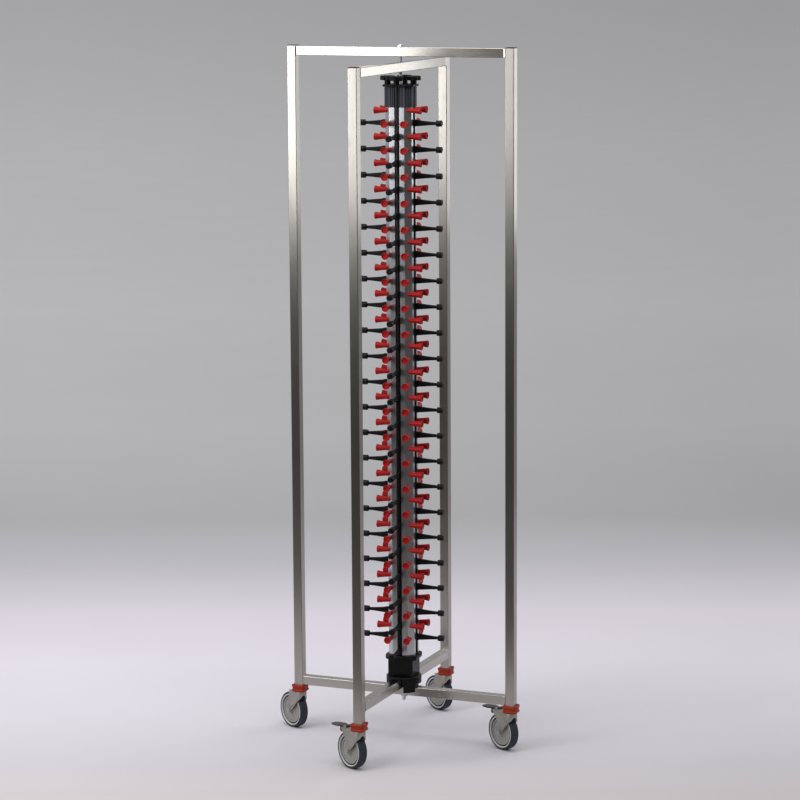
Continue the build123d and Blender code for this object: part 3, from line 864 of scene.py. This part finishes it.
for place in POSTS:
    hub = caster_frame(place) @ Matrix.Translation((CASTER_TRAIL, 0, AXLE_HEIGHT)) @ AXLE_TURN
    wheel = f"{place}_wheel"
    disc = wheel_ring(DISC_PROFILE, 72, hub)
    add_piece(f"{place}_wheel_turned", disc, wheel_grey, wheel, f"{place}_wheel_disc", 40.0)
    # The groove ring carries painted shade in its near-black colour
    groove = wheel_ring(GROOVE_PROFILE, 72, hub)
    add_piece(f"{place}_wheel_groove_painted_shade", groove, groove_painted_shade, wheel, None, 40.0)
    rim = wheel_ring(RIM_PROFILE, 72, hub)
    add_piece(f"{place}_wheel_rim", rim, rim_pale, wheel, None, 40.0)
    tyre = wheel_ring(TYRE_PROFILE, 96, hub)
    add_piece(f"{place}_tyre_moulded", tyre, tyre_dark, wheel, f"{place}_tyre", 40.0)
    axle = Shape()
    for end in (hub, hub @ OTHER_SIDE):
        axle.add(*hex_nut(AXLE_NUT_FLATS, *AXLE_NUT_ENDS), place=end)
        axle.add(*lathe(AXLE_WASHER_PROFILE, 36), place=end)
        axle.add(*lathe(AXLE_END_PROFILE, 28), place=end)
    axle.add(*lathe(AXLE_PROFILE, 28), place=hub)
    add_piece(f"{place}_axle_bolt", axle, pressed, f"{place}_caster", f"{place}_axle", 30.0)
    soften(f"{place}_fork", pressed, 0.7)
    # Painted shade: the black guard is a dark piece in the fork's front opening, where the tyre lies in
    # shade
    soften(f"{place}_guard", black, 0.5)
    if place in ("front", "right"):
        soften(f"{place}_brake_pedal", pedal_dark, 1.0, 3)


# Studio in metres: a floor that runs on to the horizon, the sky, three lamps and the camera

# Camera solved from the frame's corners in the photograph
CAMERA_SIDE = math.radians(22.458)
CAMERA_DISTANCE = 7.7909
CAMERA_HEIGHT = 2.24315
CAMERA_PITCH = 0.164784
CAMERA_YAW = -0.000835
CAMERA_ROLL = -0.005995
CAMERA_REACH = 400.0
FOCAL_PIXELS = 2925.68
PHOTO_PIXELS = 800.0
SENSOR_WIDTH = 36.0

FLOOR_REACH = 150.0
FLOOR_GAP = 0.0002
DARK_FLOOR = (0.040, 0.035, 0.029)
# The pale floor starts in front of the trolley and fades in over this depth
PALE_START = -1.0
PALE_FULL = -0.65
# Painted light: the floor is a little lighter to the left, for this share of sideways over depth
SIDE_REACH = 0.12
LEFT_PAINTED_LIGHT = 1.06
RIGHT_PAINTED_SHADE = 0.90
FLOOR_ROUGHNESS = 0.85
# Painted light and shade on the floor: its tones by distance behind the trolley
FLOOR_PAINTED_LIGHT_TONES = [
    (-1.0, (0.51, 0.47, 0.43)),
    (-0.2, (0.55, 0.53, 0.56)),
    (0.3, (0.65, 0.62, 0.67)),
    (0.85, (0.725, 0.69, 0.745)),
    (1.5, (0.71, 0.67, 0.725)),
    (2.25, (0.56, 0.55, 0.575)),
    (3.0, (0.50, 0.50, 0.507)),
    (5.0, (0.67, 0.67, 0.67)),
    (9.0, (0.765, 0.765, 0.765)),
    (20.0, (0.73, 0.73, 0.73)),
    (80.0, (0.60, 0.60, 0.60)),
]

DARK_HORIZON = (0.09, 0.088, 0.088)
PALE_HORIZON = (0.36, 0.36, 0.365)
SKY_TOP = (0.62, 0.62, 0.64)
# Share of a direction's length at which it counts as behind the trolley, and as up
BEHIND_FULL = 0.5
TOP_FULL = 0.65

# Name, place, target, width and height, power in watts
LAMPS = [
    ("front_box", (-1.95, -2.75, 2.1), (-0.3, -0.6, 2.0), (1.6, 2.1), 62.0),
    ("top_box", (0.3, -0.6, 3.6), (0, 0.4, 0.6), (2.6, 2.2), 60.0),
    ("back_box", (1.82, 2.66, 1.85), (0, 0, 1.8), (1.5, 1.8), 20.0),
]


def floor_material():
    """Pale floor with painted light and shade drawn by depth and a little sideways, dark where the studio
    lies in front.
    """
    n = material_nodes("floor")
    parts = n.node("ShaderNodeSeparateXYZ")
    n.link(n.coords, parts.inputs["Vector"])
    depth = parts.outputs["Y"]
    nearness = n.math("DIVIDE", 1.0, n.math("MAXIMUM", n.math("ADD", depth, CAMERA_DISTANCE), 1.0))
    near = 1 / (FLOOR_PAINTED_LIGHT_TONES[0][0] + CAMERA_DISTANCE)
    far = 1 / (FLOOR_PAINTED_LIGHT_TONES[-1][0] + CAMERA_DISTANCE)
    stops = [
        ((1 / (place + CAMERA_DISTANCE) - near) / (far - near), color)
        for place, color in FLOOR_PAINTED_LIGHT_TONES
    ]
    # Painted light and shade: the floor's tone follows the listed tones by depth
    tone = n.ramp(n.spread(nearness, near, far, 0.0, 1.0), stops)
    # Painted light and shade: lighter to the left, darker to the right
    slant = n.math("MULTIPLY", parts.outputs["X"], nearness)
    side = n.spread(slant, -SIDE_REACH, SIDE_REACH, LEFT_PAINTED_LIGHT, RIGHT_PAINTED_SHADE)
    marks = n.spread(n.noise(2.0, 3.0), 0.3, 0.7, 0.99, 1.01)
    tone = n.mix(1.0, tone, n.math("MULTIPLY", side, marks), "MULTIPLY")
    tone = n.mix(n.spread(depth, PALE_START, PALE_FULL, 0.0, 1.0), DARK_FLOOR, tone)
    return n.set(Base_Color=tone, Roughness=FLOOR_ROUGHNESS)


def add_floor():
    """One large square, turned so that its depth runs straight away from the camera."""
    mesh = bpy.data.meshes.new("floor")
    corners = [(x * FLOOR_REACH, y * FLOOR_REACH, 0) for x, y in ((-1, -1), (1, -1), (1, 1), (-1, 1))]
    mesh.from_pydata(corners, [], [(0, 1, 2, 3)])
    mesh.materials.append(floor_material())
    floor = bpy.data.objects.new("floor", mesh)
    floor.rotation_euler = (0, 0, CAMERA_SIDE)
    floor.location = (0, 0, FLOOR * MM - FLOOR_GAP)
    bpy.context.scene.collection.objects.link(floor)


def add_world():
    """Sky that is pale above, pale at the horizon behind the trolley and dark in front of it."""
    world = bpy.data.worlds.new("studio")
    bpy.context.scene.world = world
    n = Nodes(world, "Background", "Generated")
    parts = n.node("ShaderNodeSeparateXYZ")
    n.link(n.coords, parts.inputs["Vector"])
    behind = n.node("ShaderNodeVectorMath", operation="DOT_PRODUCT")
    behind.inputs[1].default_value = (-math.sin(CAMERA_SIDE), math.cos(CAMERA_SIDE), 0.0)
    n.link(n.coords, behind.inputs[0])
    backward = n.spread(behind.outputs["Value"], 0.0, BEHIND_FULL, 0.0, 1.0)
    upward = n.spread(parts.outputs["Z"], 0.0, TOP_FULL, 0.0, 1.0)
    n.set(Color=n.mix(upward, n.mix(backward, DARK_HORIZON, PALE_HORIZON), SKY_TOP))


def add_lamp(name, place, target, size, power):
    data = bpy.data.lights.new(name, "AREA")
    data.shape = "RECTANGLE"
    data.size, data.size_y = size
    data.energy = power
    lamp = bpy.data.objects.new(name, data)
    lamp.location = place
    lamp.rotation_euler = (Vector(target) - Vector(place)).to_track_quat("-Z", "Y").to_euler()
    bpy.context.scene.collection.objects.link(lamp)


def add_camera():
    """Camera at the photograph's viewpoint, from its yaw, pitch and roll."""
    cos_yaw, sin_yaw = math.cos(CAMERA_YAW), math.sin(CAMERA_YAW)
    cos_pitch, sin_pitch = math.cos(CAMERA_PITCH), math.sin(CAMERA_PITCH)
    cos_roll, sin_roll = math.cos(CAMERA_ROLL), math.sin(CAMERA_ROLL)
    level_right = Vector((cos_yaw, -sin_yaw, 0))
    level_up = Vector((sin_pitch * sin_yaw, sin_pitch * cos_yaw, cos_pitch))
    forward = Vector((cos_pitch * sin_yaw, cos_pitch * cos_yaw, -sin_pitch))
    right = cos_roll * level_right + sin_roll * level_up
    up = cos_roll * level_up - sin_roll * level_right
    to_row = Matrix.Rotation(CAMERA_SIDE, 3, "Z")
    matrix = Matrix.Identity(4)
    for column, axis in enumerate((right, up, -forward)):
        for row, value in enumerate(to_row @ axis):
            matrix[row][column] = value
    matrix.translation = to_row @ Vector((0, -CAMERA_DISTANCE, CAMERA_HEIGHT + FLOOR * MM))
    data = bpy.data.cameras.new("photo_camera")
    data.sensor_width = SENSOR_WIDTH
    data.lens = SENSOR_WIDTH * FOCAL_PIXELS / PHOTO_PIXELS
    data.clip_end = CAMERA_REACH
    camera = bpy.data.objects.new("photo_camera", data)
    camera.matrix_world = matrix
    bpy.context.scene.collection.objects.link(camera)
    bpy.context.scene.camera = camera


add_floor()
add_world()
for lamp in LAMPS:
    add_lamp(*lamp)
add_camera()
bpy.context.scene.view_settings.view_transform = "Standard"
